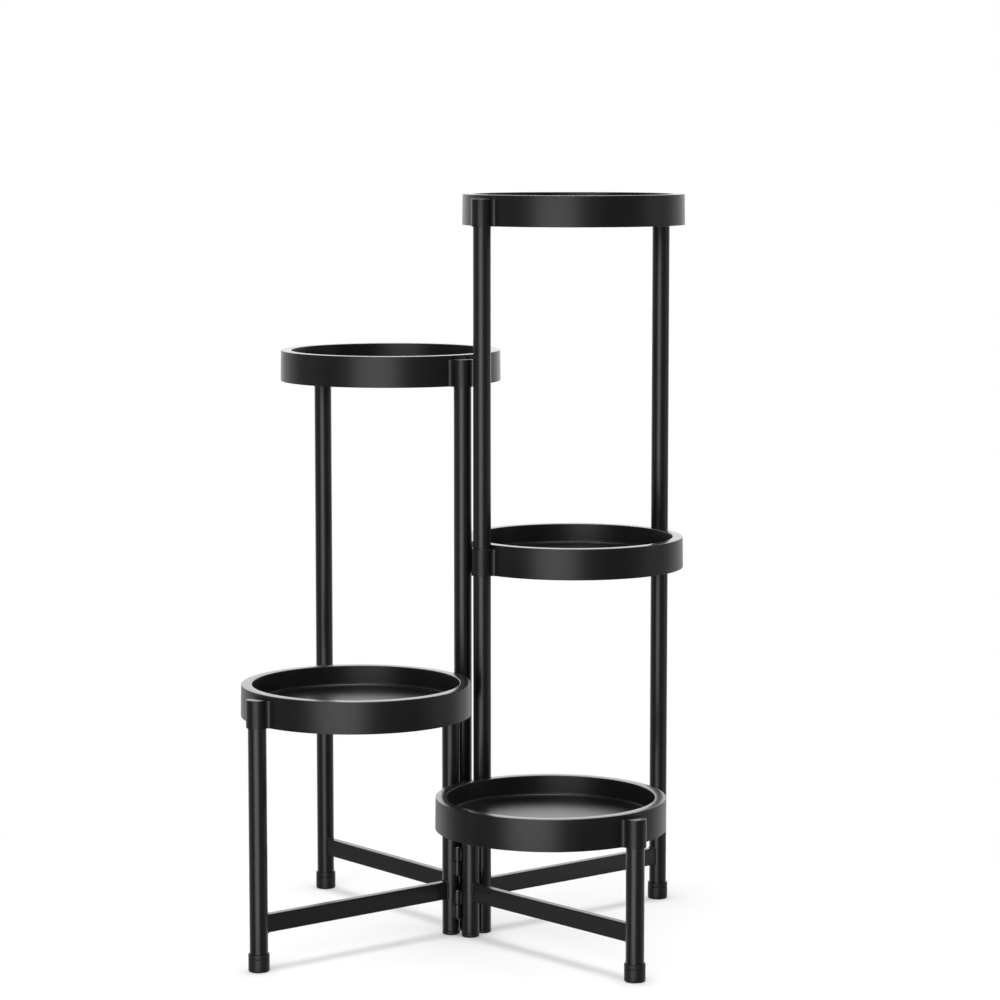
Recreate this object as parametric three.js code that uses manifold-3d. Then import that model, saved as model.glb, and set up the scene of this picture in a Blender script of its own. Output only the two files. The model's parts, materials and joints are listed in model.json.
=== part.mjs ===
// A tiered plant stand. Four upright frames of round tube are hinged to each other round a common centre and
// fan out from it, so that they stand by themselves. Each frame carries a round tray at its own height, by a
// socket at each of two sides that fits over a post. The tallest frame carries two trays: one half way up,
// which its posts are jointed in, and one at the top.
// Millimetres and degrees, +Z up. The origin is the middle of the stand's footprint, on the floor.
import * as THREE from "three";
import { mergeVertices } from "three/addons/utils/BufferGeometryUtils.js";
import Module from "manifold-3d";

const wasm = await Module();
wasm.setup();

// Fits
const FIT_GAP = 0.3; // all round a tube in a socket or cap, and at every seat and weld
const PIN_GAP = 0.15; // all round a hinge pin

// Tubes
const TUBE_DIAMETER = 19;
const TUBE_WALL = 1.5;

// Trays
const TRAY_RADIUS = 120; // outside, at the rim
const TRAY_HEIGHT = 33;
const TRAY_WALL = 2.2;
const TRAY_DRAFT = 0.8; // how much wider the skirt is at its foot
const RIM_WIDTH = 11.3;
const RIM_EDGE = 1.5; // rounding of the rim's two edges
const WELL_DEPTH = 21;
const WELL_FILLET = 3;
const RIB_COUNT = 6;
const RIB_THICKNESS = 1.8;
const RIB_DEPTH = 6; // below the floor of the well
const HUB_RADIUS = 20;

// Heights of the trays' rims
const LOWEST_TRAY_TOP = 172;
const SECOND_TRAY_TOP = 287;
const MIDDLE_TRAY_TOP = 421;
const FOURTH_TRAY_TOP = 622;
const TOP_TRAY_TOP = 792;

// Sockets at the two sides of a tray
const POST_STANDOFF = 6; // from the tray's side to the post's axis
const SOCKET_WALL = 1.5;
const SOCKET_CAP = 2.2;
const SOCKET_DROP = 4; // from the rim's top to the socket's top
const SOCKET_EDGE = 0.8;
const SOCKET_FILLET = 5; // between a socket and the tray's side
const STOP_RING = 3; // thickness of the ring inside the middle tray's sleeves
const STOP_HEIGHT = 14; // from the sleeve's foot to the ring

// Spigots that join the upper posts to the lower ones
const SPIGOT_WALL = 2;
const SPIGOT_IN_UPPER = 22;
const SPIGOT_IN_LOWER = 25;

// Crossbars
const BAR_HEIGHT = 19;
const BAR_THICKNESS = 9.5;
const BAR_WALL = 1.5;
const BAR_CORNER = 1.5;
const BAR_LEVEL = 49; // of the bar's middle

// Feet under the outer posts
const FOOT_WALL = 1.2;
const FOOT_HEIGHT = 18.5;
const FOOT_FLOOR = 3;
const FOOT_EDGE = 1.8;
const FOOT_GROOVE = 1; // its width, and twice its depth
const FOOT_GROOVE_DROP = 4; // from the foot's top to the groove's top

// Plugs under the inner posts
const PLUG_FLANGE = 4;
const PLUG_SHANK = 14;
const PLUG_EDGE = 1.4;

// Hinges
const POST_GAP = 5.4; // between the tubes of two neighbouring inner posts
const FRAME_TURN = 25.5; // from the line out of the common centre to the frame's own line
const BARREL_DIAMETER = 8;
const BARREL_EDGE = 0.8;
const PIN_DIAMETER = 4.4;
const PIN_END = 0.8; // how far a pin stands out of its barrels
const HINGE_LENGTH = 30;
const HINGE_SPLIT = 0.5; // between the two barrels
const HINGE_LEVELS = { lower: 34.5, upper: 81.5 };
const WELD_WIDTH = 5;

// The frames in their order round the stand. Each opens by its angle from the frame before it.
const FIRST_FRAME_ANGLE = 38.7;
const FRAMES = [
  { name: "back_right", opening: 0, tray: "tray_3", trayTop: MIDDLE_TRAY_TOP, upperPosts: true },
  { name: "back_left", opening: 90.5, tray: "tray_4", trayTop: FOURTH_TRAY_TOP, hinge: "back_hinge" },
  { name: "front_left", opening: 90, tray: "tray_2", trayTop: SECOND_TRAY_TOP, hinge: "left_hinge" },
  { name: "front_right", opening: 92.8, tray: "tray_1", trayTop: LOWEST_TRAY_TOP, hinge: "front_hinge" },
];

// Facets round each kind of piece
const TUBE_SIDES = 16;
const TRAY_SIDES = 32;
const HINGE_SIDES = 10;
const BLEND_STEPS = 3;
const SOCKET_STEPS = 9;
const EDGE_STEPS = 2;
const SAME_POINT = 1e-4; // points nearer than this are one point
const OVERCUT = 1; // how far a cutting shape runs past what it cuts

// Sizes that follow
const tubeRadius = TUBE_DIAMETER / 2;
const boreRadius = tubeRadius - TUBE_WALL;
const socketBore = tubeRadius + FIT_GAP;
const socketRadius = socketBore + SOCKET_WALL;
const socketOffset = TRAY_RADIUS + POST_STANDOFF;
const frameWidth = 2 * socketOffset;
const wellRadius = TRAY_RADIUS - RIM_WIDTH;
const barrelRadius = BARREL_DIAMETER / 2;
const postPitch = TUBE_DIAMETER + POST_GAP;
const hingeReach = tubeRadius + FIT_GAP + barrelRadius;
// A tube's end stops below the closed top of its socket.
const socketSeat = SOCKET_DROP + SOCKET_CAP + FIT_GAP;

const blackPaint = new THREE.MeshStandardMaterial({ color: 0x1b1b1d, roughness: 0.38, metalness: 0.1 });
const blackTray = new THREE.MeshStandardMaterial({ color: 0x1a1a1b, roughness: 0.42, metalness: 0 });
const blackCap = new THREE.MeshStandardMaterial({ color: 0x151516, roughness: 0.5, metalness: 0 });
const plainSteel = new THREE.MeshStandardMaterial({ color: 0x8a8c90, roughness: 0.35, metalness: 1 });

function solidOf(geometry) {
  const bare = geometry.clone();
  bare.deleteAttribute("normal");
  bare.deleteAttribute("uv");
  const merged = mergeVertices(bare, SAME_POINT);
  return new wasm.Manifold(
    new wasm.Mesh({
      numProp: 3,
      vertProperties: merged.attributes.position.array,
      triVerts: new Uint32Array(merged.index.array),
    }),
  );
}

function geometryOf(solid) {
  const mesh = solid.getMesh();
  const geometry = new THREE.BufferGeometry();
  geometry.setAttribute("position", new THREE.BufferAttribute(mesh.vertProperties, 3));
  geometry.setIndex(new THREE.BufferAttribute(mesh.triVerts, 1));
  geometry.computeVertexNormals();
  return geometry;
}

function mesh(name, geometry, material) {
  const piece = new THREE.Mesh(geometry, material.clone());
  piece.name = name;
  return piece;
}

function polar(radius, degrees) {
  const angle = THREE.MathUtils.degToRad(degrees);
  return new THREE.Vector2(radius * Math.cos(angle), radius * Math.sin(angle));
}

function turned(vector, degrees) {
  return vector.clone().rotateAround(new THREE.Vector2(), THREE.MathUtils.degToRad(degrees));
}

// Revolves an outline of [radius, height] points about the z axis.
function revolved(outline, sides) {
  const points = outline.map(([radius, height]) => new THREE.Vector2(radius, height));
  return new THREE.LatheGeometry(points, sides).rotateX(Math.PI / 2);
}

// A plain round bar along z, from one height to another.
function rod(radius, low, high, sides) {
  return revolved([[0, low], [radius, low], [radius, high], [0, high]], sides);
}

// A quarter round in steps, between two headings about a centre, as outline points.
function arc(radius, height, size, from, to, steps) {
  return Array.from({ length: steps + 1 }, (_, i) => {
    const at = polar(size, from + ((to - from) * i) / steps);
    return [radius + at.x, height + at.y];
  });
}

// A round tube that is open at both ends.
function tube(low, high) {
  const inside = [[boreRadius, high], [boreRadius, low]];
  const outside = [[tubeRadius, low], [tubeRadius, high]];
  return revolved([inside[1], ...outside, ...inside], TUBE_SIDES);
}

// The cap on an outer post's lower end, with a groove round its mouth.
function footCap() {
  const outside = socketBore + FOOT_WALL;
  const grooveTop = FOOT_HEIGHT - FOOT_GROOVE_DROP;
  return revolved(
    [
      [0, 0],
      ...arc(outside - FOOT_EDGE, FOOT_EDGE, FOOT_EDGE, -90, 0, EDGE_STEPS),
      [outside, grooveTop - FOOT_GROOVE],
      [outside - FOOT_GROOVE / 2, grooveTop - FOOT_GROOVE / 2],
      [outside, grooveTop],
      [outside, FOOT_HEIGHT - FOOT_WALL / 2],
      [outside - FOOT_WALL / 2, FOOT_HEIGHT],
      [socketBore, FOOT_HEIGHT],
      [socketBore, FOOT_FLOOR],
      [0, FOOT_FLOOR],
    ],
    TUBE_SIDES,
  );
}

// The plug in an inner post's lower end: a flange as wide as the tube, and a shank inside it.
function endPlug() {
  const shank = boreRadius - FIT_GAP;
  const top = PLUG_FLANGE + PLUG_SHANK;
  return revolved(
    [
      [0, 0],
      ...arc(tubeRadius - PLUG_EDGE, PLUG_EDGE, PLUG_EDGE, -90, 0, EDGE_STEPS),
      [tubeRadius, PLUG_FLANGE],
      [shank, PLUG_FLANGE],
      [shank, top - PLUG_EDGE],
      [shank - PLUG_EDGE, top],
      [0, top],
    ],
    TUBE_SIDES,
  );
}

// The flat bar between a frame's two posts, a rectangular tube whose ends are cut to the round of the posts.
function crossbar() {
  const halfHigh = BAR_HEIGHT / 2;
  const halfThick = BAR_THICKNESS / 2;
  const section = new THREE.Shape();
  section.absarc(halfThick - BAR_CORNER, halfHigh - BAR_CORNER, BAR_CORNER, 0, Math.PI / 2);
  section.absarc(BAR_CORNER - halfThick, halfHigh - BAR_CORNER, BAR_CORNER, Math.PI / 2, Math.PI);
  section.absarc(BAR_CORNER - halfThick, BAR_CORNER - halfHigh, BAR_CORNER, Math.PI, 1.5 * Math.PI);
  section.absarc(halfThick - BAR_CORNER, BAR_CORNER - halfHigh, BAR_CORNER, 1.5 * Math.PI, 2 * Math.PI);
  const options = { depth: frameWidth, bevelEnabled: false, curveSegments: EDGE_STEPS };
  const length = new THREE.ExtrudeGeometry(section, options);
  length.rotateX(Math.PI / 2).rotateZ(Math.PI / 2);
  const insideThick = BAR_THICKNESS - 2 * BAR_WALL;
  const insideHigh = BAR_HEIGHT - 2 * BAR_WALL;
  const inside = new THREE.BoxGeometry(2 * frameWidth + OVERCUT, insideThick, insideHigh);
  const post = rod(socketBore, -BAR_HEIGHT, BAR_HEIGHT, TUBE_SIDES);
  const coped = solidOf(length)
    .subtract(solidOf(inside))
    .subtract(solidOf(post))
    .subtract(solidOf(post.clone().translate(frameWidth, 0, 0)));
  return geometryOf(coped);
}

// One barrel of a hinge at the origin, with its weld reaching towards the post it is fixed to.
function hingeBarrel(low, high, towardsPost) {
  const post = rod(socketBore, low - OVERCUT, high + OVERCUT, TUBE_SIDES);
  post.translate(towardsPost.x, towardsPost.y, 0);
  const weld = new THREE.BoxGeometry(hingeReach, WELD_WIDTH, high - low - 2 * BARREL_EDGE);
  weld.translate(hingeReach / 2, 0, (low + high) / 2).rotateZ(towardsPost.angle());
  const barrel = revolved(
    [
      [0, low],
      [barrelRadius - BARREL_EDGE, low],
      [barrelRadius, low + BARREL_EDGE],
      [barrelRadius, high - BARREL_EDGE],
      [barrelRadius - BARREL_EDGE, high],
      [0, high],
    ],
    HINGE_SIDES,
  );
  const bore = rod(PIN_DIAMETER / 2 + PIN_GAP, low - OVERCUT, high + OVERCUT, HINGE_SIDES);
  return geometryOf(solidOf(barrel).add(solidOf(weld)).subtract(solidOf(post)).subtract(solidOf(bore)));
}

// A hinge's pin, with a small round on each end.
function hingePin() {
  const radius = PIN_DIAMETER / 2;
  const end = HINGE_LENGTH / 2 + PIN_END;
  return revolved(
    [
      [0, -end],
      [radius - PIN_END, -end],
      [radius, PIN_END - end],
      [radius, end - PIN_END],
      [radius - PIN_END, end],
      [0, end],
    ],
    HINGE_SIDES,
  );
}

// A tray's round: a shallow well, a flat rim, and a skirt that is hollow from below.
function trayRound() {
  const floor = -WELL_DEPTH;
  const skirtFoot = TRAY_RADIUS + TRAY_DRAFT;
  return revolved(
    [
      [0, floor - TRAY_WALL],
      [wellRadius + TRAY_WALL, floor - TRAY_WALL],
      [wellRadius + TRAY_WALL, -TRAY_WALL],
      [TRAY_RADIUS - TRAY_WALL, -TRAY_WALL],
      [skirtFoot - TRAY_WALL, -TRAY_HEIGHT],
      [skirtFoot, -TRAY_HEIGHT],
      ...arc(TRAY_RADIUS - RIM_EDGE, -RIM_EDGE, RIM_EDGE, 0, 90, EDGE_STEPS),
      ...arc(wellRadius + RIM_EDGE, -RIM_EDGE, RIM_EDGE, 90, 180, 1),
      ...arc(wellRadius - WELL_FILLET, floor + WELL_FILLET, WELL_FILLET, 0, -90, EDGE_STEPS),
      [0, floor],
    ],
    TRAY_SIDES,
  );
}

// The ribs under the floor, from a ring round the middle out to the skirt.
function trayRibs() {
  const bottom = -WELL_DEPTH - TRAY_WALL - RIB_DEPTH;
  const top = -WELL_DEPTH - TRAY_WALL / 2;
  const reach = TRAY_RADIUS - TRAY_WALL / 2;
  let ribs = solidOf(
    revolved(
      [
        [HUB_RADIUS - RIB_THICKNESS / 2, bottom],
        [HUB_RADIUS + RIB_THICKNESS / 2, bottom],
        [HUB_RADIUS + RIB_THICKNESS / 2, top],
        [HUB_RADIUS - RIB_THICKNESS / 2, top],
        [HUB_RADIUS - RIB_THICKNESS / 2, bottom],
      ],
      3 * RIB_COUNT,
    ),
  );
  for (let i = 0; i < RIB_COUNT; i += 1) {
    const rib = new THREE.BoxGeometry(reach - HUB_RADIUS, RIB_THICKNESS, top - bottom);
    rib.translate((reach + HUB_RADIUS) / 2, 0, (top + bottom) / 2);
    rib.rotateZ(((i + 0.5) * 2 * Math.PI) / RIB_COUNT);
    ribs = ribs.add(solidOf(rib));
  }
  return ribs;
}

// The outline of a socket in plan, which runs into the tray's side by a hollow round on each flank. An inset
// draws the outside in by that much.
function socketOutline(inset) {
  const reach = TRAY_RADIUS + SOCKET_FILLET;
  const span = socketRadius + SOCKET_FILLET;
  const cosine = (socketOffset ** 2 + reach ** 2 - span ** 2) / (2 * socketOffset * reach);
  const side = THREE.MathUtils.radToDeg(Math.acos(cosine));
  const centre = polar(reach, side);
  const flank = THREE.MathUtils.radToDeg(Math.atan2(centre.y, centre.x - socketOffset));
  const blend = SOCKET_FILLET + inset;
  const inside = TRAY_RADIUS - RIM_WIDTH / 2;
  return [
    polar(inside, -side).toArray(),
    ...arc(centre.x, -centre.y, blend, 180 - side, 180 - flank, BLEND_STEPS),
    ...arc(socketOffset, 0, socketRadius - inset, -flank, flank, SOCKET_STEPS).slice(1, -1),
    ...arc(centre.x, centre.y, blend, flank - 180, side - 180, BLEND_STEPS),
    polar(inside, side).toArray(),
  ];
}

// A solid between outlines of as many points each, one above the other.
function lofted(levels) {
  const count = levels[0].outline.length;
  const positions = levels.flatMap(({ outline, height }) => outline.flatMap(([x, y]) => [x, y, height]));
  const flat = levels[0].outline.map(([x, y]) => new THREE.Vector2(x, y));
  const cap = THREE.ShapeUtils.triangulateShape(flat, []);
  const last = (levels.length - 1) * count;
  const faces = cap.flatMap(([a, b, c]) => [a, c, b, last + a, last + b, last + c]);
  for (let level = 0; level < levels.length - 1; level += 1) {
    for (let i = 0; i < count; i += 1) {
      const a = level * count + i;
      const b = level * count + ((i + 1) % count);
      faces.push(a, b, b + count, a, b + count, a + count);
    }
  }
  const geometry = new THREE.BufferGeometry();
  geometry.setAttribute("position", new THREE.Float32BufferAttribute(positions, 3));
  geometry.setIndex(faces);
  return geometry;
}

// The tray's side as a plain round block, larger all round by a margin.
function traySide(margin) {
  const slope = TRAY_DRAFT / TRAY_HEIGHT;
  const top = TRAY_RADIUS + margin - slope * OVERCUT;
  const foot = TRAY_RADIUS + TRAY_DRAFT + margin + slope * OVERCUT;
  const low = -TRAY_HEIGHT - OVERCUT;
  return solidOf(revolved([[0, low], [foot, low], [top, OVERCUT], [0, OVERCUT]], TRAY_SIDES));
}

// The outside of a socket: in front a boss with an eased top edge that fits against the tray's side, and
// behind it the back of the cup, which stands in a notch in the skirt.
function socketBlock() {
  const boss = lofted([
    { outline: socketOutline(0), height: -TRAY_HEIGHT },
    { outline: socketOutline(0), height: -SOCKET_DROP - SOCKET_EDGE },
    { outline: socketOutline(SOCKET_EDGE), height: -SOCKET_DROP },
  ]);
  const back = rod(socketRadius, -TRAY_HEIGHT, -SOCKET_DROP, TUBE_SIDES).translate(socketOffset, 0, 0);
  const lap = FIT_GAP + SAME_POINT;
  return solidOf(boss).subtract(traySide(FIT_GAP)).add(solidOf(back).intersect(traySide(lap)));
}

// What is taken out of a socket: a blind bore, or in the middle tray a bore with a stop ring part way up.
function socketHollow(open) {
  const under = -TRAY_HEIGHT - OVERCUT;
  if (!open) return solidOf(rod(socketBore, under, -SOCKET_DROP - SOCKET_CAP, TUBE_SIDES));
  const ringFoot = STOP_HEIGHT - TRAY_HEIGHT;
  return solidOf(rod(socketBore, under, ringFoot, TUBE_SIDES))
    .add(solidOf(rod(boreRadius, under, OVERCUT, TUBE_SIDES)))
    .add(solidOf(rod(socketBore, ringFoot + STOP_RING, OVERCUT, TUBE_SIDES)));
}

function socket(open) {
  const hollow = socketHollow(open).translate([socketOffset, 0, 0]);
  return geometryOf(socketBlock().subtract(hollow));
}

// A tray's moulding: its round and ribs, notched for the backs of the sockets. The middle tray's posts also
// pass through its rim.
function trayShell(open) {
  const notch = rod(socketRadius + FIT_GAP, -TRAY_HEIGHT - OVERCUT, FIT_GAP - SOCKET_DROP, TUBE_SIDES);
  let cut = solidOf(notch);
  if (open) cut = cut.add(solidOf(rod(socketBore, -TRAY_HEIGHT, OVERCUT, TUBE_SIDES)));
  const shell = solidOf(trayRound())
    .add(trayRibs())
    .subtract(cut.translate([socketOffset, 0, 0]))
    .subtract(cut.translate([-socketOffset, 0, 0]));
  return geometryOf(shell);
}

// A tray with its two sockets, between a frame's inner post at the group's origin and its outer one.
function tray(name, top, open) {
  const shell = mesh(name, trayShell(open), blackTray);
  const inner = mesh(name + "_inner_socket", socket(open), blackTray);
  const outer = mesh(name + "_outer_socket", socket(open), blackTray);
  inner.rotation.z = Math.PI;
  for (const piece of [shell, inner, outer]) piece.position.set(frameWidth / 2, 0, top);
  return [shell, inner, outer];
}

// The sleeve inside an upper post's foot that steps down through the tray's stop ring into the lower post.
function spigot() {
  const outside = boreRadius - FIT_GAP;
  return revolved(
    [
      [outside - SPIGOT_WALL, -SPIGOT_IN_LOWER],
      [outside - SPIGOT_WALL / 2, -SPIGOT_IN_LOWER],
      [outside, SPIGOT_WALL - SPIGOT_IN_LOWER],
      [outside, SPIGOT_IN_UPPER + STOP_RING],
      [outside - SPIGOT_WALL, SPIGOT_IN_UPPER + STOP_RING],
      [outside - SPIGOT_WALL, -SPIGOT_IN_LOWER],
    ],
    TUBE_SIDES,
  );
}

// A frame's posts, crossbar, foot and plug. The inner post stands on the frame's own z axis.
function frame({ name, tray: trayName, trayTop, upperPosts = false }) {
  const group = new THREE.Group();
  const postTop = upperPosts ? trayTop - TRAY_HEIGHT + STOP_HEIGHT - FIT_GAP : trayTop - socketSeat;
  const innerPost = mesh(name + "_inner_post", tube(PLUG_FLANGE + FIT_GAP, postTop), blackPaint);
  const outerPost = mesh(name + "_outer_post", tube(FOOT_FLOOR + FIT_GAP, postTop), blackPaint);
  const bar = mesh(name + "_crossbar", crossbar(), blackPaint);
  const foot = mesh(name + "_foot_cap", footCap(), blackCap);
  const plug = mesh(name + "_end_plug", endPlug(), blackCap);
  outerPost.position.x = frameWidth;
  bar.position.z = BAR_LEVEL;
  foot.position.x = frameWidth;
  group.add(innerPost, outerPost, bar, foot, plug, ...tray(trayName, trayTop, upperPosts));
  return group;
}

// The two upper posts of the tallest frame with their spigots, and the top tray.
function upperStorey(middleTrayTop) {
  const group = new THREE.Group();
  const ringFoot = middleTrayTop - TRAY_HEIGHT + STOP_HEIGHT;
  const low = ringFoot + STOP_RING + FIT_GAP;
  for (const [side, x] of [["inner", 0], ["outer", frameWidth]]) {
    const post = mesh("upper_" + side + "_post", tube(low, TOP_TRAY_TOP - socketSeat), blackPaint);
    const join = mesh("upper_" + side + "_spigot", spigot(), blackCap);
    post.position.x = x;
    join.position.set(x, 0, ringFoot);
    group.add(post, join);
  }
  group.add(...tray("tray_5", TOP_TRAY_TOP, false));
  return group;
}

// Where a frame's two hinges lie in its own plan, x along the frame: the leading one joins it to the next
// frame and the trailing one to the frame before. Opened by the square angle, the inner posts stand in a
// square, and each hinge lies in the valley outside the two tubes it joins.
const SQUARE = 90;
const toNextPost = polar(postPitch, 1.5 * SQUARE - FRAME_TURN);
const outOfValley = polar(Math.sqrt(hingeReach ** 2 - (postPitch / 2) ** 2), SQUARE / 2 - FRAME_TURN);
const leadingPin = toNextPost.clone().multiplyScalar(0.5).add(outOfValley);
const trailingPin = turned(leadingPin.clone().sub(toNextPost), -SQUARE);

// The lower barrel and pin of each hinge belong to the leading side, the upper barrel to the trailing side.
function leadingHalf(group, hinge) {
  for (const [level, height] of Object.entries(HINGE_LEVELS)) {
    const towardsPost = leadingPin.clone().negate();
    const barrel = hingeBarrel(-HINGE_LENGTH / 2, -HINGE_SPLIT / 2, towardsPost);
    const lower = mesh(hinge + "_" + level + "_bottom_barrel", barrel, blackPaint);
    const pin = mesh(hinge + "_" + level + "_pin", hingePin(), plainSteel);
    for (const piece of [lower, pin]) piece.position.set(leadingPin.x, leadingPin.y, height);
    group.add(lower, pin);
  }
}

function trailingHalf(group, hinge) {
  for (const [level, height] of Object.entries(HINGE_LEVELS)) {
    const towardsPost = trailingPin.clone().negate();
    const barrel = hingeBarrel(HINGE_SPLIT / 2, HINGE_LENGTH / 2, towardsPost);
    const upper = mesh(hinge + "_" + level + "_top_barrel", barrel, blackPaint);
    upper.position.set(trailingPin.x, trailingPin.y, height);
    group.add(upper);
  }
}

// Each frame is placed by the hinge that it shares with the one before it.
const stand = new THREE.Group();
let place = new THREE.Vector2();
let heading = FIRST_FRAME_ANGLE;
FRAMES.forEach((spec, i) => {
  if (i > 0) {
    const pin = turned(leadingPin, heading).add(place);
    heading += spec.opening;
    place = pin.sub(turned(trailingPin, heading));
  }
  const group = frame(spec);
  if (spec.hinge) trailingHalf(group, spec.hinge);
  if (FRAMES[i + 1]) leadingHalf(group, FRAMES[i + 1].hinge);
  if (spec.upperPosts) group.add(upperStorey(spec.trayTop));
  group.position.set(place.x, place.y, 0);
  group.rotation.z = THREE.MathUtils.degToRad(heading);
  stand.add(group);
});

const footprint = new THREE.Box3().setFromObject(stand, true).getCenter(new THREE.Vector3());
for (const group of stand.children) {
  group.position.x -= footprint.x;
  group.position.y -= footprint.y;
}

export default stand;
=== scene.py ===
"""A tiered plant stand: four hinged tube frames that fan out round one centre and carry five round trays."""

import json
from math import atan2, cos, pi, radians, sin, sqrt, tan

import bpy
from mathutils import Matrix, Vector

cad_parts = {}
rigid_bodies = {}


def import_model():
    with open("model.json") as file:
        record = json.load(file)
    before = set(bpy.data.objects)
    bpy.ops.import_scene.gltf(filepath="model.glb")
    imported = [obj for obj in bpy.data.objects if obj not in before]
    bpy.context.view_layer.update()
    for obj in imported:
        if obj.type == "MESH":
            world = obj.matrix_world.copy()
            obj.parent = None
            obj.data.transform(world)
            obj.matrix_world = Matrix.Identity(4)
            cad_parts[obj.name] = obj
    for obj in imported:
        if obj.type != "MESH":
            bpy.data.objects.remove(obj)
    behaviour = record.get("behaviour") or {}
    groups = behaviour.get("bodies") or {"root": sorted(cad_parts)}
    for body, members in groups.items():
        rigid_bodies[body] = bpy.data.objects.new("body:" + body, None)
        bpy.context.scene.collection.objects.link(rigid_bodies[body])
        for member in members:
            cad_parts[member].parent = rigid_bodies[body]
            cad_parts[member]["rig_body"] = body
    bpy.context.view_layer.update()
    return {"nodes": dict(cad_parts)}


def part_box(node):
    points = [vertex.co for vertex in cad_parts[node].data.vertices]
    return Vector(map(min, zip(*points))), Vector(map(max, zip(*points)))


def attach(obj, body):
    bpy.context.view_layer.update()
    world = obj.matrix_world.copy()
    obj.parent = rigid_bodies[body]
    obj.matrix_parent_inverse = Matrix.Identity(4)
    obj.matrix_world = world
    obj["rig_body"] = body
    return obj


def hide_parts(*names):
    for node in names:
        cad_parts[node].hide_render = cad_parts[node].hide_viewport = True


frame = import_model()


# -------------------------------------------------------------------------------------------------------
# Posts. Ten lengths of 19 mm round steel tube with a 1.5 mm wall, cut square and eased at the ends, and
# painted satin black. A post's place and its ends are those of its solid in the frame.
MM = 0.001
TUBE_RADIUS = 9.5 * MM
TUBE_BORE = 8 * MM
TUBE_SIDES = 72
END_EASE = 0.3 * MM
WELD_DISTANCE = 0.002 * MM
CREASE = 40
FRAMES = ("back_right", "back_left", "front_left", "front_right")
POSTS = [side + kind for side in FRAMES for kind in ("_inner_post", "_outer_post")]
POSTS += ["upper_inner_post", "upper_outer_post"]


def centre(node):
    """The middle of a node's box, in plan."""
    low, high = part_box(node)
    return ((low + high) / 2).xy


def eased(corners, steps=4):
    """The points of an outline of (radius, height, ease) corners, with an arc for each corner's ease."""
    points = []
    for i, (radius, height, ease) in enumerate(corners):
        here = Vector((radius, height))
        if not ease:
            points.append(here)
            continue
        back = (Vector(corners[i - 1][:2]) - here).normalized()
        on = (Vector(corners[(i + 1) % len(corners)][:2]) - here).normalized()
        half = back.angle(on) / 2
        middle = here + (back + on).normalized() * ease / sin(half)
        start = here + back * ease / tan(half) - middle
        end = here + on * ease / tan(half) - middle
        sweep = -start.angle_signed(end)
        points += [middle + Matrix.Rotation(sweep * k / steps, 2) @ start for k in range(steps + 1)]
    return points


def drawn(name, points):
    """A line through points, pulled out one corner at a time and left selected in edit mode."""
    bpy.ops.object.select_all(action="DESELECT")
    bpy.ops.mesh.primitive_plane_add(size=MM, location=points[0])
    piece = bpy.context.object
    piece.name = piece.data.name = name
    bpy.ops.object.mode_set(mode="EDIT")
    bpy.ops.mesh.select_mode(type="VERT")
    bpy.ops.mesh.merge(type="CENTER")
    for one, two in zip(points, points[1:]):
        bpy.ops.mesh.extrude_region_move(TRANSFORM_OT_translate={"value": two - one})
    bpy.ops.mesh.select_all(action="SELECT")
    return piece


def turned(name, outline, sides, at=(0, 0)):
    """A piece spun round an upright axis from an outline that closes on itself or ends on the axis."""
    piece = drawn(name, [Vector((point.x, 0, point.y)) for point in outline])
    bpy.ops.mesh.spin(steps=sides, angle=2 * pi, center=(0, 0, 0), axis=(0, 0, 1))
    bpy.ops.mesh.select_all(action="SELECT")
    bpy.ops.mesh.remove_doubles(threshold=WELD_DISTANCE)
    bpy.ops.mesh.normals_make_consistent(inside=False)
    bpy.ops.object.mode_set(mode="OBJECT")
    bpy.ops.object.transform_apply()
    return placed(piece, at)


def alone(piece):
    """Selects a piece and nothing else."""
    bpy.ops.object.select_all(action="DESELECT")
    piece.select_set(True)
    bpy.context.view_layer.objects.active = piece


def placed(piece, at, turn=0, height=0):
    """Puts a piece that was made at the origin in its place, and leaves the place in its mesh."""
    alone(piece)
    piece.rotation_euler = (0, 0, turn)
    piece.location = (at[0], at[1], height)
    bpy.ops.object.transform_apply()
    return piece


def smooth(piece, angle=CREASE):
    """Shades a piece smooth, with a crease wherever two faces meet at more than the angle."""
    alone(piece)
    bpy.ops.object.shade_smooth_by_angle(angle=radians(angle))
    return piece


class Wire:
    """An output of a material's nodes. Arithmetic on wires adds Math nodes."""

    def __init__(self, tree, socket=None):
        self.tree = tree
        self.socket = socket

    def node(self, kind, settings=None, values=None, output=0):
        made = self.tree.nodes.new("ShaderNode" + kind)
        for name, value in (settings or {}).items():
            if name == "stops":
                for element, (place, grey) in zip(made.color_ramp.elements, value):
                    element.position = place
                    element.color = (grey, grey, grey, 1)
            else:
                setattr(made, name, value)
        for name, value in (values or {}).items():
            if isinstance(value, Wire):
                self.tree.links.new(value.socket, made.inputs[name])
            else:
                made.inputs[name].default_value = value
        return Wire(self.tree, made.outputs[output])

    def maths(self, operation, *operands):
        return self.node("Math", {"operation": operation}, dict(enumerate(operands)))

    def __add__(self, other):
        return self.maths("ADD", self, other)

    def __rsub__(self, other):
        return self.maths("SUBTRACT", other, self)

    def __mul__(self, other):
        return self.maths("MULTIPLY", self, other)

    __radd__ = __add__
    __rmul__ = __mul__


def grain(wire, size, detail, stretch=(1, 1, 1)):
    """Noise from 0 to 1 whose lumps are about the size given, drawn out along an axis by a stretch."""
    coordinates = wire.node("TexCoord", output="Object")
    scaled = wire.node("Mapping", {}, {"Vector": coordinates, "Scale": [1 / s for s in stretch]})
    return wire.node("TexNoise", {}, {"Vector": scaled, "Scale": 1 / size, "Detail": detail})


def between(mask, low, high):
    """A ramp that turns a mask from 0 to 1 between two of its values."""
    return mask.node("ValToRGB", {"stops": [(low, 0), (high, 1)]}, {"Fac": mask})


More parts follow.
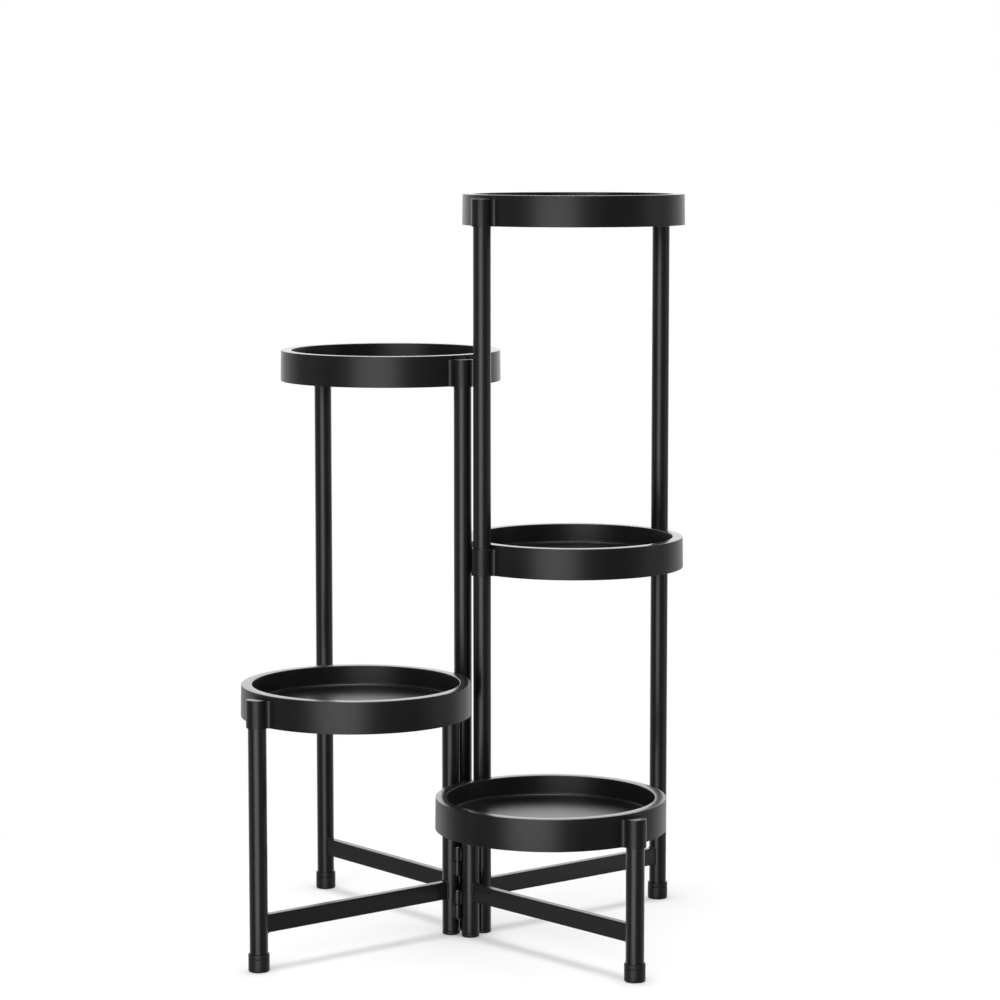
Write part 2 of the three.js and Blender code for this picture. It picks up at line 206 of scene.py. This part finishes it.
def tinted(wire, mask, dark, light):
    """A colour that goes from dark to light as the mask goes from 0 to 1."""
    values = {0: mask, 6: (*dark, 1), 7: (*light, 1)}
    return wire.node("Mix", {"data_type": "RGBA"}, values, output=2)


def surface(name, colour, roughness, normal, fixed):
    """A material from wires for what varies over it and numbers for the sockets that stay the same."""
    material = bpy.data.materials.new(name)
    material.use_nodes = True
    tree = material.node_tree
    shader = tree.nodes["Principled BSDF"]
    wire = Wire(tree)
    tree.links.new(colour(wire).socket, shader.inputs["Base Color"])
    tree.links.new(roughness(wire).socket, shader.inputs["Roughness"])
    tree.links.new(normal(wire).socket, shader.inputs["Normal"])
    for socket, value in fixed.items():
        shader.inputs[socket].default_value = value
    return material


def bumped(wire, height, depth):
    """The surface's own direction, roughened by a height that goes from 0 to the depth."""
    return wire.node("Bump", {}, {"Height": height, "Distance": depth, "Strength": 1.0})


# The paint has the fine orange peel of a baked powder coat and a little dust in its gloss.
PAINT_DARK = (0.0045, 0.0045, 0.0048)
PAINT_LIGHT = (0.0075, 0.0075, 0.0079)
PAINT_ROUGHNESS = 0.24
PAINT_CLOUDS = 0.07
PAINT_DUST = 0.05
PEEL_SIZE = 1.6 * MM
PEEL_DEPTH = 0.012 * MM
black_paint = surface(
    "black_paint",
    lambda w: tinted(w, grain(w, 9 * MM, 3.0), PAINT_DARK, PAINT_LIGHT),
    lambda w: PAINT_ROUGHNESS + PAINT_CLOUDS * grain(w, 14 * MM, 4.0) + PAINT_DUST * grain(w, 0.9 * MM, 1.0),
    lambda w: bumped(w, grain(w, PEEL_SIZE, 2.0) + 0.35 * grain(w, 0.35 * MM, 1.0), PEEL_DEPTH),
    {"Specular IOR Level": 0.5, "IOR": 1.5},
)


def finished(piece, node, material, slot, *also):
    """Gives a piece its material and lets it ride in the place of its nodes. The slot argument is not used.
    """
    piece.data.materials.clear()
    piece.data.materials.append(material)
    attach(piece, frame["nodes"][node]["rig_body"])
    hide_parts(node, *also)
    return piece


for node in POSTS:
    low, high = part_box(node)
    outline = eased(
        [
            (TUBE_BORE, low.z, END_EASE),
            (TUBE_RADIUS, low.z, END_EASE),
            (TUBE_RADIUS, high.z, END_EASE),
            (TUBE_BORE, high.z, END_EASE),
        ]
    )
    post = turned(node + "_tube", outline + outline[:1], TUBE_SIDES, centre(node))
    finished(smooth(post), node, black_paint, "black_paint")


# -------------------------------------------------------------------------------------------------------
# Crossbars. A flat bar of rectangular tube near the foot of each frame, cut to the round of the two posts
# and welded to them all round. The bead is a separate skin of weld metal under the same paint.
BAR_HEIGHT = 19 * MM
BAR_THICKNESS = 9.5 * MM
BAR_WALL = 1.5 * MM
BAR_CORNER = 1.5 * MM
DAB_RADIUS = 1.3 * MM
DAB_SQUASH = 0.8
DAB_STEP = 1.1 * MM
DAB_TURN = (0.4, 0.7, 1.1)


def cut(piece, tool, operation="DIFFERENCE"):
    """Cuts or joins a piece with a tool, which is used up."""
    alone(piece)
    boolean = piece.modifiers.new("cut", "BOOLEAN")
    boolean.operation = operation
    boolean.solver = "EXACT"
    boolean.object = tool
    bpy.ops.object.modifier_apply(modifier=boolean.name)
    bpy.data.objects.remove(tool)
    return piece


def rod(radius, low, high, at):
    """A plain round bar, as a tool for cutting and joining."""
    bpy.ops.object.select_all(action="DESELECT")
    place = (at[0], at[1], (low + high) / 2)
    bpy.ops.mesh.primitive_cylinder_add(vertices=TUBE_SIDES, radius=radius, depth=high - low, location=place)
    bpy.ops.object.transform_apply()
    return bpy.context.object


def block(size, at):
    """A box of a size about a place, with its place left in its mesh."""
    bpy.ops.object.select_all(action="DESELECT")
    bpy.ops.mesh.primitive_cube_add(size=1, location=at)
    bpy.context.object.scale = size
    bpy.ops.object.transform_apply()
    return bpy.context.object


def long_edges(bar, length):
    """Goes into edit mode with only those edges of a bar selected that run along it."""
    alone(bar)
    bpy.ops.object.mode_set(mode="EDIT")
    bpy.ops.mesh.select_mode(type="EDGE")
    bpy.ops.mesh.select_all(action="DESELECT")
    bpy.ops.object.mode_set(mode="OBJECT")
    for edge in bar.data.edges:
        one, two = (bar.data.vertices[v].co for v in edge.vertices)
        edge.select = abs(one.x - two.x) > length / 2
    bpy.ops.object.mode_set(mode="EDIT")


def crossbar(name, length):
    """The bar along x from one post's axis to the other's, about the origin's height."""
    bar = block((length, BAR_THICKNESS, BAR_HEIGHT), (length / 2, 0, 0))
    bar.name = bar.data.name = name
    long_edges(bar, length)
    bpy.ops.mesh.bevel(offset=BAR_CORNER, segments=5, affect="EDGES")
    bpy.ops.object.mode_set(mode="OBJECT")
    hollow = (length * 2, BAR_THICKNESS - 2 * BAR_WALL, BAR_HEIGHT - 2 * BAR_WALL)
    cut(bar, block(hollow, (length / 2, 0, 0)))
    for x in (0, length):
        cut(bar, rod(TUBE_RADIUS, -BAR_HEIGHT, BAR_HEIGHT, (x, 0)))
    return bar


def weld(name, places, node):
    """A weld: overlapping dabs of metal at the places given, each a copy of one squashed ball, joined up."""
    bpy.ops.object.select_all(action="DESELECT")
    bpy.ops.mesh.primitive_uv_sphere_add(segments=8, ring_count=5, radius=DAB_RADIUS)
    dab = bpy.context.object
    bpy.ops.transform.resize(value=(1, 1, DAB_SQUASH))
    bpy.ops.object.transform_apply()
    copies = []
    for i, place in enumerate(places):
        copy = bpy.data.objects.new(name, dab.data.copy())
        bpy.context.scene.collection.objects.link(copy)
        copy.location = place
        copy.rotation_euler = [turn * i for turn in DAB_TURN]
        copies.append(copy)
    bpy.data.objects.remove(dab)
    bpy.ops.object.select_all(action="DESELECT")
    for copy in copies:
        copy.select_set(True)
    bpy.context.view_layer.objects.active = copies[0]
    bpy.ops.object.join()
    bpy.ops.object.transform_apply()
    bead = smooth(copies[0], 180)
    bead.name = bead.data.name = name
    bead.data.materials.append(black_paint)
    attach(bead, frame["nodes"][node]["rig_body"])
    return bead


def stepped(line, step):
    """Places at equal steps along a line of points."""
    places = []
    left = 0
    for one, two in zip(line, line[1:]):
        span = (two - one).length
        while left < span:
            places.append(one.lerp(two, left / span))
            left += step
        left -= span
    return places


for side in FRAMES:
    node = side + "_crossbar"
    inner, outer = centre(side + "_inner_post"), centre(side + "_outer_post")
    along = outer - inner
    low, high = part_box(node)
    level = (low.z + high.z) / 2
    turn = atan2(along.y, along.x)
    bar = placed(crossbar(node + "_bar", along.length), inner, turn, level)
    finished(smooth(bar), node, black_paint, "black_paint")
    half = Vector((BAR_THICKNESS / 2, BAR_HEIGHT / 2))
    corners = [(x * half.x, z * half.y, BAR_CORNER) for x, z in ((-1, -1), (1, -1), (1, 1), (-1, 1))]
    round_bar = eased(corners)
    places = []
    for across, up in stepped(round_bar + round_bar[:1], DAB_STEP):
        reach = sqrt(TUBE_RADIUS**2 - across**2)
        places += [Vector((x, across, up)) for x in (reach, along.length - reach)]
    to_frame = Matrix.Translation((*inner, level)) @ Matrix.Rotation(turn, 4, "Z")
    weld(side + "_bar_welds", [to_frame @ place for place in places], node)


# -------------------------------------------------------------------------------------------------------
# Foot caps and end plugs. Black moulded caps that the outer posts stand in, each with a groove round its
# mouth, and plugs pushed into the inner posts whose flanges are as wide as the tube.
CAP_RADIUS = 11 * MM
CAP_BORE = 9.7 * MM
CAP_FLOOR = 3 * MM
CAP_EASE = 1.8 * MM
CAP_LIP = 0.5 * MM
GROOVE_DEPTH = 0.55 * MM
GROOVE_WIDTH = 1 * MM
GROOVE_DROP = 4 * MM
PLUG_FLANGE = 4 * MM
PLUG_SHANK = 7.8 * MM
PLUG_EASE = 1.4 * MM
CAP_DARK = (0.004, 0.004, 0.0042)
CAP_LIGHT = (0.008, 0.008, 0.0083)
CAP_ROUGHNESS = 0.42
CAP_CLOUDS = 0.12
CAP_PEBBLE = 0.012 * MM
black_cap = surface(
    "black_cap",
    lambda w: tinted(w, grain(w, 4 * MM, 4.0), CAP_DARK, CAP_LIGHT),
    lambda w: CAP_ROUGHNESS + CAP_CLOUDS * grain(w, 5 * MM, 3.0),
    lambda w: bumped(w, grain(w, 0.4 * MM, 2.0) + 0.5 * grain(w, 3 * MM, 2.0), CAP_PEBBLE),
    {"Specular IOR Level": 0.5},
)

for side in FRAMES:
    node = side + "_foot_cap"
    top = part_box(node)[1].z
    outline = eased(
        [
            (0, 0, 0),
            (CAP_RADIUS, 0, CAP_EASE),
            (CAP_RADIUS, top - GROOVE_DROP - GROOVE_WIDTH, GROOVE_DEPTH / 3),
            (CAP_RADIUS - GROOVE_DEPTH, top - GROOVE_DROP - GROOVE_WIDTH / 2, GROOVE_DEPTH / 3),
            (CAP_RADIUS, top - GROOVE_DROP, GROOVE_DEPTH / 3),
            (CAP_RADIUS, top, CAP_LIP),
            (CAP_BORE, top, CAP_LIP / 2),
            (CAP_BORE, CAP_FLOOR, CAP_LIP),
            (0, CAP_FLOOR, 0),
        ]
    )
    cap = smooth(turned(node + "_moulding", outline, TUBE_SIDES, centre(node)))
    finished(cap, node, black_cap, "black_cap")

    node = side + "_end_plug"
    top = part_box(node)[1].z
    outline = eased(
        [
            (0, 0, 0),
            (TUBE_RADIUS, 0, PLUG_EASE),
            (TUBE_RADIUS, PLUG_FLANGE, END_EASE),
            (PLUG_SHANK, PLUG_FLANGE, END_EASE),
            (PLUG_SHANK, top, PLUG_EASE),
            (0, top, 0),
        ]
    )
    plug = smooth(turned(node + "_moulding", outline, TUBE_SIDES, centre(node)))
    finished(plug, node, black_cap, "black_cap")


# -------------------------------------------------------------------------------------------------------
# Hinges. Two barrels and a steel pin each, with no leaves: a barrel lies in the valley between two inner
# posts and is welded to its own post by a bead down each side. The barrels are painted with the frame, and
# the pin is bare.
HINGES = {
    "back_hinge": ("back_right", "back_left"),
    "left_hinge": ("back_left", "front_left"),
    "front_hinge": ("front_left", "front_right"),
}
BARREL_RADIUS = 4 * MM
BARREL_BORE = 2.35 * MM
BARREL_EASE = 0.8 * MM
BARREL_SIDES = 40
PIN_RADIUS = 2.2 * MM
PIN_EASE = 0.8 * MM
DAB_SINK = 0.5 * MM
STEEL_DARK = (0.30, 0.30, 0.31)
STEEL_LIGHT = (0.46, 0.46, 0.47)
STEEL_ROUGHNESS = 0.26
STEEL_STREAKS = 0.18
STREAK_STRETCH = (3, 3, 0.3)
SCRATCH_STRETCH = (4, 4, 0.2)
SCRATCH_DEPTH = 0.01 * MM
pin_steel = surface(
    "pin_steel",
    lambda w: tinted(w, grain(w, 1.2 * MM, 4.0, STREAK_STRETCH), STEEL_DARK, STEEL_LIGHT),
    lambda w: STEEL_ROUGHNESS + STEEL_STREAKS * grain(w, 0.8 * MM, 3.0, STREAK_STRETCH),
    lambda w: bumped(w, grain(w, 0.5 * MM, 2.0, SCRATCH_STRETCH), SCRATCH_DEPTH),
    {"Metallic": 1.0},
)


def notches(barrel, post):
    """The two places in plan where a dab nests between a barrel and its post."""
    away = post - barrel
    to_barrel = BARREL_RADIUS + DAB_RADIUS - DAB_SINK
    to_post = TUBE_RADIUS + DAB_RADIUS - DAB_SINK
    along = (to_barrel**2 - to_post**2 + away.length_squared) / (2 * away.length)
    aside = away.orthogonal().normalized() * sqrt(max(to_barrel**2 - along**2, 0))
    middle = barrel + away.normalized() * along
    return middle + aside, middle - aside


for hinge, sides in HINGES.items():
    for level in ("lower", "upper"):
        pin_node = f"{hinge}_{level}_pin"
        axis = centre(pin_node)
        for end, side in zip(("bottom", "top"), sides):
            node = f"{hinge}_{level}_{end}_barrel"
            low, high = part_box(node)
            outline = eased(
                [
                    (BARREL_BORE, low.z, END_EASE),
                    (BARREL_RADIUS, low.z, BARREL_EASE),
                    (BARREL_RADIUS, high.z, BARREL_EASE),
                    (BARREL_BORE, high.z, END_EASE),
                ]
            )
            barrel = turned(node + "_tube", outline + outline[:1], BARREL_SIDES, axis)
            places = []
            for notch in notches(axis, centre(side + "_inner_post")):
                bottom, top = (Vector((*notch, z)) for z in (low.z + DAB_RADIUS, high.z - DAB_RADIUS))
                places += stepped([bottom, top], DAB_STEP)
            weld(node + "_welds", places, node)
            finished(smooth(barrel), node, black_paint, "black_paint")
        low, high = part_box(pin_node)
        outline = eased(
            [(0, low.z, 0), (PIN_RADIUS, low.z, PIN_EASE), (PIN_RADIUS, high.z, PIN_EASE), (0, high.z, 0)]
        )
        pin = smooth(turned(pin_node + "_rod", outline, BARREL_SIDES, axis))
        finished(pin, pin_node, pin_steel, "pin_steel")


# -------------------------------------------------------------------------------------------------------
# Spigots. A black moulded sleeve in the foot of each upper post, which steps down through the middle tray
# into the post below and shows only when they are pulled apart.
SPIGOT_RADIUS = 7.7 * MM
SPIGOT_BORE = 5.7 * MM
SPIGOT_LEAD = 1.6 * MM

for node in ("upper_inner_spigot", "upper_outer_spigot"):
    low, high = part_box(node)
    outline = eased(
        [
            (SPIGOT_BORE, low.z, END_EASE),
            (SPIGOT_RADIUS, low.z, SPIGOT_LEAD),
            (SPIGOT_RADIUS, high.z, END_EASE),
            (SPIGOT_BORE, high.z, END_EASE),
        ]
    )
    sleeve = smooth(turned(node + "_sleeve", outline + outline[:1], TUBE_SIDES, centre(node)))
    finished(sleeve, node, black_cap, "black_cap")


# -------------------------------------------------------------------------------------------------------
# Trays. One black moulding each, in the place of a shell and two sockets: a shallow well, a flat rim, a
# skirt that is hollow from below, two sockets blended into it, and ribs under the floor. The middle tray's
# sockets are open sleeves with a ring inside that the posts stand on from above and below.
TRAY_RADIUS = 119.7 * MM
TRAY_HEIGHT = 33 * MM
TRAY_WALL = 2.2 * MM
TRAY_DRAFT = 0.5 * MM
TRAY_SIDES = 144
RIM_WIDTH = 11.3 * MM
RIM_EASE = 0.9 * MM
WELL_DEPTH = 21 * MM
WELL_EASE = 3 * MM
WELL_RADIUS = TRAY_RADIUS - RIM_WIDTH
INNER_EASE = 0.5 * MM
FOOT_EASE = 0.3 * MM
SOCKET_OFFSET = 126 * MM
SOCKET_RADIUS = 11.3 * MM
SOCKET_BORE = 9.8 * MM
SOCKET_DROP = 4 * MM
SOCKET_CAP = 2.2 * MM
SOCKET_EASE = 0.9 * MM
SOCKET_FILLET = 5 * MM
WEB_DROP = 4.5 * MM
STOP_HEIGHT = 14 * MM
STOP_RING = 3 * MM
RIB_COUNT = 6
RIB_THICKNESS = 1.8 * MM
RIB_DEPTH = 6 * MM
HUB_RADIUS = 20 * MM
OVERCUT = 1 * MM
MEND_DISTANCE = 0.03 * MM
TRAY_CREASE = 35


def slab(name, corners, low, high):
    """An upright block with straight sides through corners given in plan."""
    piece = drawn(name, [Vector((*corner, low)) for corner in corners + corners[:1]])
    bpy.ops.mesh.remove_doubles(threshold=WELD_DISTANCE)
    bpy.ops.mesh.edge_face_add()
    bpy.ops.mesh.extrude_region_move(TRANSFORM_OT_translate={"value": (0, 0, high - low)})
    bpy.ops.mesh.select_all(action="SELECT")
    bpy.ops.mesh.normals_make_consistent(inside=False)
    bpy.ops.object.mode_set(mode="OBJECT")
    bpy.ops.object.transform_apply()
    return piece


def polar(radius, angle):
    return Vector((radius * cos(angle), radius * sin(angle)))


def socket():
    """The outside of a socket at +x: a boss with an eased top, run into the skirt by hollow rounds."""
    outline = [(0, -TRAY_HEIGHT, 0), (SOCKET_RADIUS, -TRAY_HEIGHT, 0)]
    outline += [(SOCKET_RADIUS, -SOCKET_DROP, SOCKET_EASE), (0, -SOCKET_DROP, 0)]
    made = turned("socket", eased(outline), TUBE_SIDES, (SOCKET_OFFSET, 0))
    reach, span = TRAY_RADIUS + SOCKET_FILLET, SOCKET_RADIUS + SOCKET_FILLET
    cosine = (SOCKET_OFFSET**2 + reach**2 - span**2) / (2 * SOCKET_OFFSET * reach)
    side = Vector((cosine, sqrt(1 - cosine**2)))
    post = Vector((SOCKET_OFFSET, 0))
    blend = side * reach
    on_socket = post + (blend - post).normalized() * SOCKET_RADIUS
    in_wall = Vector((TRAY_RADIUS - TRAY_WALL / 2, 0))
    for flank in (1, -1):
        corners = [Vector((p.x, p.y * flank)) for p in (in_wall, on_socket, blend, side * TRAY_RADIUS)]
        web = slab("web", corners, -TRAY_HEIGHT, -WEB_DROP)
        cut(web, rod(SOCKET_FILLET, -TRAY_HEIGHT - OVERCUT, 0, corners[2]))
        cut(made, web, "UNION")
    return made


def ribs():
    """The ring under the middle of the floor and the ribs that run from it to the skirt."""
    low = -WELL_DEPTH - TRAY_WALL - RIB_DEPTH
    high = -WELL_DEPTH - TRAY_WALL / 2
    inside, outside = HUB_RADIUS - RIB_THICKNESS / 2, HUB_RADIUS + RIB_THICKNESS / 2
    corners = ((inside, low), (outside, low), (outside, high), (inside, high), (inside, low))
    made = turned("ribs", [Vector(corner) for corner in corners], TUBE_SIDES)
    reach = TRAY_RADIUS - TRAY_WALL / 2
    for i in range(RIB_COUNT):
        middle = ((reach + HUB_RADIUS) / 2, 0, (high + low) / 2)
        rib = block((reach - HUB_RADIUS, RIB_THICKNESS, high - low), middle)
        cut(made, placed(rib, (0, 0), (i + 0.5) * 2 * pi / RIB_COUNT), "UNION")
    return made


def mended(piece):
    """Merges the corners that the cuts left double and splits the faces that have more than four."""
    bpy.ops.object.mode_set(mode="EDIT")
    bpy.ops.mesh.select_mode(type="VERT")
    bpy.ops.mesh.select_all(action="SELECT")
    bpy.ops.mesh.remove_doubles(threshold=MEND_DISTANCE)
    bpy.ops.mesh.dissolve_degenerate(threshold=MEND_DISTANCE)
    bpy.ops.mesh.select_all(action="DESELECT")
    bpy.ops.mesh.select_mode(type="FACE")
    bpy.ops.mesh.select_face_by_sides(number=4, type="GREATER")
    bpy.ops.mesh.quads_convert_to_tris()
    bpy.ops.object.mode_set(mode="OBJECT")
    piece.data.validate()
    return piece


def tray(name, open_sockets):
    """A tray with its rim's top at the origin's height and its sockets along x."""
    floor = -WELL_DEPTH
    foot = TRAY_RADIUS + TRAY_DRAFT
    outline = eased(
        [
            (0, floor - TRAY_WALL, 0),
            (WELL_RADIUS + TRAY_WALL, floor - TRAY_WALL, INNER_EASE),
            (WELL_RADIUS + TRAY_WALL, -TRAY_WALL, INNER_EASE),
            (TRAY_RADIUS - TRAY_WALL, -TRAY_WALL, INNER_EASE),
            (foot - TRAY_WALL, -TRAY_HEIGHT, FOOT_EASE),
            (foot, -TRAY_HEIGHT, FOOT_EASE),
            (TRAY_RADIUS, 0, RIM_EASE),
            (WELL_RADIUS, 0, RIM_EASE),
            (WELL_RADIUS, floor, WELL_EASE),
            (0, floor, 0),
        ],
        steps=5,
    )
    made = turned(name, outline, TRAY_SIDES)
    cut(made, ribs(), "UNION")
    for turn in (0, pi):
        cut(made, placed(socket(), (0, 0), turn), "UNION")
        at = polar(SOCKET_OFFSET, turn)
        under = -TRAY_HEIGHT - OVERCUT
        if open_sockets:
            ring = STOP_HEIGHT - TRAY_HEIGHT
            cut(made, rod(SOCKET_BORE, under, ring, at))
            cut(made, rod(TUBE_BORE, under, OVERCUT, at))
            cut(made, rod(SOCKET_BORE, ring + STOP_RING, OVERCUT, at))
        else:
            cut(made, rod(SOCKET_BORE, under, -SOCKET_DROP - SOCKET_CAP, at))
    return mended(made)


MOULDED_DARK = (0.0035, 0.0035, 0.0036)
MOULDED_LIGHT = (0.006, 0.006, 0.0062)
SIDE_ROUGHNESS = 0.34
FLAT_ROUGHNESS = 0.20
SLOPE, FLAT = 0.5, 0.95
MOULDED_CLOUDS = 0.03
MOULDED_SPECKS = 0.03
MOULDED_PEBBLE = 0.005 * MM


def moulded_roughness(wire):
    """The roughness of a moulding, whose flats come out of the tool more polished than its sides."""
    up = wire.node("SeparateXYZ", {}, {0: wire.node("NewGeometry", output="Normal")}, output=2)
    base = SIDE_ROUGHNESS - (SIDE_ROUGHNESS - FLAT_ROUGHNESS) * between(up, SLOPE, FLAT)
    return base + MOULDED_CLOUDS * grain(wire, 30 * MM, 3.0) + MOULDED_SPECKS * grain(wire, 1.1 * MM, 1.0)


black_tray = surface(
    "black_tray",
    lambda w: tinted(w, grain(w, 22 * MM, 4.0), MOULDED_DARK, MOULDED_LIGHT),
    moulded_roughness,
    lambda w: bumped(w, grain(w, 0.45 * MM, 1.0) + 0.5 * grain(w, 6 * MM, 1.0), MOULDED_PEBBLE),
    {"Specular IOR Level": 0.4},
)

TRAYS = {
    "tray_1": "front_right",
    "tray_2": "front_left",
    "tray_3": "back_right",
    "tray_4": "back_left",
    "tray_5": "back_right",
}
closed_tray = tray("closed_tray", False)
open_tray = tray("open_tray", True)
for node, side in TRAYS.items():
    pattern = open_tray if node == "tray_3" else closed_tray
    moulding = bpy.data.objects.new(node + "_moulding", pattern.data.copy())
    bpy.context.scene.collection.objects.link(moulding)
    along = centre(side + "_outer_post") - centre(side + "_inner_post")
    turn = atan2(along.y, along.x)
    placed(moulding, centre(node), turn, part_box(node)[1].z)
    sockets = (node + "_inner_socket", node + "_outer_socket")
    finished(smooth(moulding, TRAY_CREASE), node, black_tray, "black_tray", *sockets)
for pattern in (closed_tray, open_tray):
    bpy.data.objects.remove(pattern)


# -------------------------------------------------------------------------------------------------------
# The studio. A round table of white paper in a white surround, a soft box overhead, a tall soft panel in
# front and to the left, a low one behind, two dim ones at the sides, and the camera in front and a little
# above.
CAMERA_PLACE = (0.0354, -3.4331, 0.8522)
CAMERA_PITCH = radians(6.368)
CAMERA_LENS = 116.94
SENSOR_WIDTH = 36
TABLE_RADIUS = 0.95
LIT_RADIUS = 0.4
WHITE_RADIUS = 0.75
PAPER = (0.82, 0.82, 0.82, 1)
AMBIENT = 0.3
ROOM = 0.18
PAPER_GLOW = 0.18
BACKDROP_EDGE, BACKDROP_WHITE = 0.25, 0.75
WHITE = (1, 1, 1, 1)
LAMPS = {
    "overhead_box": {"place": (0, 0, 3.2), "target": (0, 0, 0), "size": (1.5, 1.5), "radiance": 10.5},
    "front_panel": {"place": (-0.5, -1.75, 0.3), "target": (0, 0, 0.3), "size": (1.5, 2.4), "radiance": 2.4},
    "back_panel": {"place": (0, 2.6, 1.0), "target": (0, 0, 0.5), "size": (3.0, 1.7), "radiance": 0.8},
    "right_panel": {"place": (2.0, -0.1, 0.4), "target": (0, 0, 0.4), "size": (0.8, 2.2), "radiance": 0.5},
    "left_panel": {"place": (-2.0, -0.1, 0.4), "target": (0, 0, 0.4), "size": (0.6, 2.2), "radiance": 0.3},
}

bpy.ops.object.camera_add(location=CAMERA_PLACE, rotation=(pi / 2 - CAMERA_PITCH, 0, 0))
camera = bpy.context.object
camera.data.lens = CAMERA_LENS
camera.data.sensor_width = SENSOR_WIDTH
bpy.context.scene.camera = camera


def soft_box(name, place, target, size, radiance):
    """A flat soft light that faces a target and isn't seen by the camera."""
    lamp = bpy.data.lights.new(name, "AREA")
    lamp.shape = "RECTANGLE"
    lamp.size, lamp.size_y = size
    lamp.energy = radiance * pi * size[0] * size[1]
    holder = bpy.data.objects.new(name, lamp)
    bpy.context.scene.collection.objects.link(holder)
    holder.location = place
    holder.rotation_euler = (Vector(target) - Vector(place)).to_track_quat("-Z", "Y").to_euler()
    holder.visible_camera = False
    return holder


lamps = {name: soft_box(name, **lamp) for name, lamp in LAMPS.items()}

# The overhead box draws the shadows of the frames on the paper, and none of the trays high above it.
frames_only = bpy.data.collections.new("overhead_shadows")
for piece in bpy.context.scene.objects:
    if piece.type == "MESH" and not piece.name.startswith("tray"):
        frames_only.objects.link(piece)
lamps["overhead_box"].light_linking.blocker_collection = frames_only


def lit(tree, shade, white, *masks):
    """Shows the white where a mask says so, and the shade elsewhere."""
    wire = Wire(tree)
    total = masks[0]
    for mask in masks[1:]:
        total = wire.maths("MAXIMUM", total, mask)
    mixed = wire.node("MixShader", {}, {0: total, 1: shade, 2: white})
    output = next(node for node in tree.nodes if node.type.startswith("OUTPUT"))
    tree.links.new(mixed.socket, output.inputs["Surface"])


bpy.ops.object.select_all(action="DESELECT")
bpy.ops.mesh.primitive_circle_add(vertices=96, radius=TABLE_RADIUS, fill_type="NGON")
floor = bpy.context.object
floor.name = "white_floor"
floor.visible_glossy = False
paper = bpy.data.materials.new("white_paper")
paper.use_nodes = True
wire = Wire(paper.node_tree)
camera_ray = wire.node("LightPath", output="Is Camera Ray")
place = wire.node("TexCoord", output="Object")
reach = wire.node("VectorMath", {"operation": "LENGTH"}, {0: place}, output=1)
away = between(reach, LIT_RADIUS, WHITE_RADIUS)
faint = wire.node("Emission", {}, {"Color": WHITE, "Strength": PAPER_GLOW})
matt = wire.node("AddShader", {}, {0: wire.node("BsdfDiffuse", {}, {"Color": PAPER}), 1: faint})
glow = wire.node("Emission", {}, {"Color": WHITE, "Strength": 1.0})
lit(paper.node_tree, matt, glow, camera_ray * away)
floor.data.materials.append(paper)

world = bpy.data.worlds.new("studio")
bpy.context.scene.world = world
world.use_nodes = True
wire = Wire(world.node_tree)
kinds = ("Camera", "Glossy", "Transmission")
rays = {kind: wire.node("LightPath", output=f"Is {kind} Ray") for kind in kinds}
backwards = wire.node("SeparateXYZ", {}, {0: wire.node("TexCoord", output="Generated")}, output=1)
behind = between(backwards, BACKDROP_EDGE, BACKDROP_WHITE)
dim = wire.node("Background", {}, {"Color": WHITE, "Strength": AMBIENT})
white = wire.node("Background", {}, {"Color": WHITE, "Strength": 1.0})
dark = wire.node("Background", {}, {"Color": WHITE, "Strength": ROOM})
seen = wire.maths("MAXIMUM", rays["Glossy"], rays["Transmission"])
shade = wire.node("MixShader", {}, {0: seen, 1: dim, 2: dark})
lit(world.node_tree, shade, white, rays["Camera"], seen * behind)

bpy.context.scene.view_settings.view_transform = "Standard"
